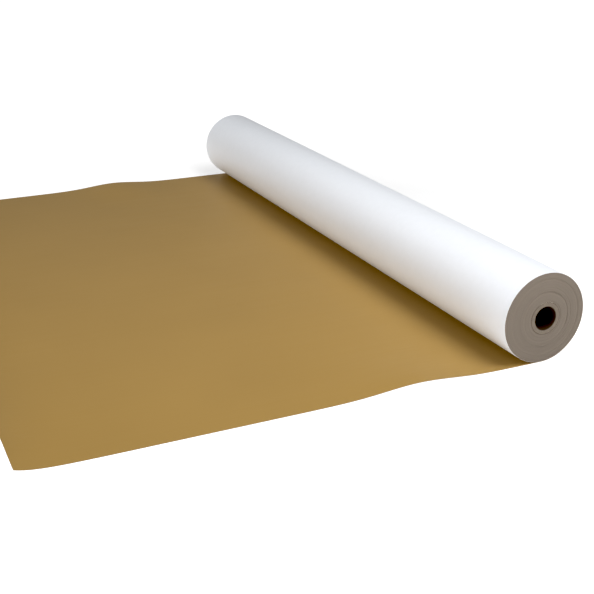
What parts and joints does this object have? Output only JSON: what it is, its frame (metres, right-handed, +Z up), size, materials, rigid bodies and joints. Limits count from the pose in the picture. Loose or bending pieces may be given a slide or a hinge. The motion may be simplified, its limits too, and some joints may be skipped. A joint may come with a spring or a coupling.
{
  "type": "roll of sign vinyl",
  "caption": "Roll of coloured vinyl film on a white paper liner, wound on a paperboard core, with its leading end unrolled flat beside it.",
  "frame": {"origin": "centre of the hole through the core, halfway along the roll", "axes": "+Y along the roll's axis, -X towards the free edge of the unrolled end, +Z up; the floor is at z = -0.073"},
  "size_m": [0.8774, 1.26, 0.1454],
  "materials": {
    "film": "satin calendered vinyl, gold-tan",
    "adhesive": "clear pressure-sensitive adhesive",
    "liner": "smooth coated release paper, white",
    "wound_edge": "slit edges of the wound web, grey-beige",
    "core_board": "raw grey-brown coreboard",
    "kraft_ply": "smooth kraft paper ply",
    "start_tape": "double-sided tape"
  },
  "bodies": {
    "root": {"tail_film": "film", "tail_adhesive": "adhesive", "tail_liner": "liner"},
    "lift_off": {"lift_off_film": "film", "lift_off_adhesive": "adhesive", "lift_off_liner": "liner"},
    "roll": {"core_inner_ply": "kraft_ply", "core_board_ply_1": "core_board", "core_board_ply_2": "core_board", "core_board_ply_3": "core_board", "core_board_ply_4": "core_board", "core_board_ply_5": "core_board", "core_board_ply_6": "core_board", "core_outer_ply": "kraft_ply", "start_tape": "start_tape", "wound_turns": "wound_edge", "outer_turn_film": "film", "outer_turn_adhesive": "adhesive", "outer_turn_liner": "liner"}
  },
  "joints": [
    {"name": "roll_travel", "type": "slide", "parent": "root", "child": "lift_off", "axis": [1, 0, 0], "range_m": [-0.4, 0.5], "deforming": ["tail_film", "tail_adhesive", "tail_liner"]},
    {"name": "roll_spin", "type": "hinge", "parent": "lift_off", "child": "roll", "pos_m": [0, 0, 0], "axis": [0, 1, 0], "range_deg": [-320, 400]}
  ],
  "couplings": [
    {"joint": "roll_spin", "follows": "roll_travel", "rad_per_m": 13.749}
  ]
}
